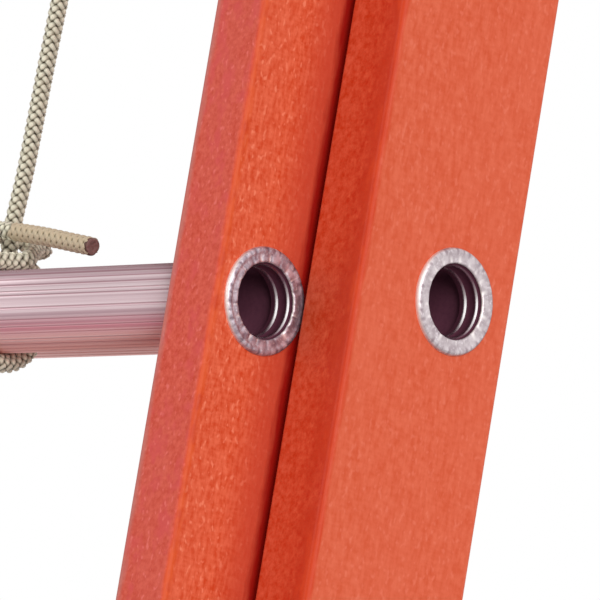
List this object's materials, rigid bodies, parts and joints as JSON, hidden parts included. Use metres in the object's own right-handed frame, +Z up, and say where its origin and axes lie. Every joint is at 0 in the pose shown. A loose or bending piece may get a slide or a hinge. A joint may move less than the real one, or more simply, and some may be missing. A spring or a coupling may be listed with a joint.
{
  "type": "extension ladder",
  "caption": "Two-section extension ladder with channel rails, ribbed D-shaped rungs crimped through the rails, rung locks, pulley and rope, standing on swivel shoes.",
  "frame": {"origin": "on the floor, under the middle of the closed ladder's bounding box", "axes": "+Z up along the rails, +X along the rungs to the right rail, +Y from the fly section in front to the base section behind"},
  "size_m": [0.5032, 0.1554, 2.5015],
  "materials": {
    "fiberglass": "pultruded fiberglass with a faint woven veil under a satin skin",
    "rung_metal": "extruded aluminium, ribbed",
    "crimp_metal": "swaged aluminium with crimp marks",
    "bracket_metal": "bent aluminium plate, brushed",
    "cast_metal": "cast aluminium, slightly grainy",
    "hook_steel": "zinc-plated steel",
    "flipper_steel": "yellow zinc-plated steel",
    "bolt_steel": "zinc-plated steel",
    "spring_steel": "spring wire",
    "rivet_metal": "set rivets",
    "pad_rubber": "moulded rubber tread",
    "cap_plastic": "moulded plastic",
    "pulley_plastic": "glass-filled nylon",
    "rope": "braided synthetic rope"
  },
  "bodies": {
    "base": {"base_rail_left": "fiberglass", "base_rail_right": "fiberglass", "base_rung_1": "rung_metal", "base_rung_2": "rung_metal", "base_rung_3": "rung_metal", "base_rung_4": "rung_metal", "base_rung_5": "rung_metal", "base_rung_6": "rung_metal", "base_rung_7": "rung_metal", "base_rung_8": "rung_metal", "base_ferrules": "crimp_metal", "base_collars": "crimp_metal", "shoe_bolts": "bolt_steel", "pulley_bracket": "cast_metal", "pulley_axle": "bolt_steel", "top_guide_left": "bracket_metal", "top_guide_right": "bracket_metal", "base_top_caps": "cap_plastic", "brace_left": "bracket_metal", "brace_right": "bracket_metal", "base_rivets": "rivet_metal", "rope_lift": "rope", "rope_haul": "rope", "haul_knot": "rope"},
    "fly": {"fly_rail_left": "fiberglass", "fly_rail_right": "fiberglass", "fly_rung_1": "rung_metal", "fly_rung_2": "rung_metal", "fly_rung_3": "rung_metal", "fly_rung_4": "rung_metal", "fly_rung_5": "rung_metal", "fly_rung_6": "rung_metal", "fly_rung_7": "rung_metal", "fly_rung_8": "rung_metal", "fly_ferrules": "crimp_metal", "fly_collars": "crimp_metal", "lock_frame_left": "cast_metal", "lock_frame_right": "cast_metal", "lock_pins": "bolt_steel", "lock_springs": "spring_steel", "fly_guide_left": "bracket_metal", "fly_guide_right": "bracket_metal", "fly_top_caps": "cap_plastic", "fly_foot_caps": "cap_plastic", "fly_rivets": "rivet_metal", "rope_tie": "rope", "rope_knot": "rope", "rope_tail": "rope"},
    "shoe_left": {"shoe_left": "bracket_metal", "shoe_pad_left": "pad_rubber"},
    "shoe_right": {"shoe_right": "bracket_metal", "shoe_pad_right": "pad_rubber"},
    "hook_left": {"lock_hook_left": "hook_steel"},
    "hook_right": {"lock_hook_right": "hook_steel"},
    "flipper_left": {"lock_flipper_left": "flipper_steel"},
    "flipper_right": {"lock_flipper_right": "flipper_steel"},
    "pulley": {"pulley_wheel": "pulley_plastic"}
  },
  "joints": [
    {"name": "fly_slide", "type": "slide", "parent": "base", "child": "fly", "axis": [0, 0, 1], "range_m": [0, 1.524], "deforming": ["rope_lift"]},
    {"name": "hook_left_swing", "type": "hinge", "parent": "fly", "child": "hook_left", "pos_m": [-0.16, -0.01425, 0.152], "axis": [-1, 0, 0], "range_deg": [0, 50]},
    {"name": "flipper_left_swing", "type": "hinge", "parent": "hook_left", "child": "flipper_left", "pos_m": [-0.152, -0.04075, 0.1944], "axis": [1, 0, 0], "range_deg": [-28, 0]},
    {"name": "hook_right_swing", "type": "hinge", "parent": "fly", "child": "hook_right", "pos_m": [0.16, -0.01425, 0.152], "axis": [-1, 0, 0], "range_deg": [0, 50]},
    {"name": "flipper_right_swing", "type": "hinge", "parent": "hook_right", "child": "flipper_right", "pos_m": [0.152, -0.04075, 0.1944], "axis": [1, 0, 0], "range_deg": [-28, 0]},
    {"name": "pulley_spin", "type": "hinge", "parent": "base", "child": "pulley", "pos_m": [0.015, -0.00985, 2.335], "axis": [0, 1, 0], "continuous": true},
    {"name": "shoe_left_swivel", "type": "hinge", "parent": "base", "child": "shoe_left", "pos_m": [-0.2279, 0.01845, 0.078], "axis": [1, 0, 0], "range_deg": [0, 90]},
    {"name": "shoe_right_swivel", "type": "hinge", "parent": "base", "child": "shoe_right", "pos_m": [0.2279, 0.01845, 0.078], "axis": [1, 0, 0], "range_deg": [0, 90]}
  ],
  "couplings": [
    {"joint": "pulley_spin", "follows": "fly_slide", "rad_per_m": -47.619}
  ]
}
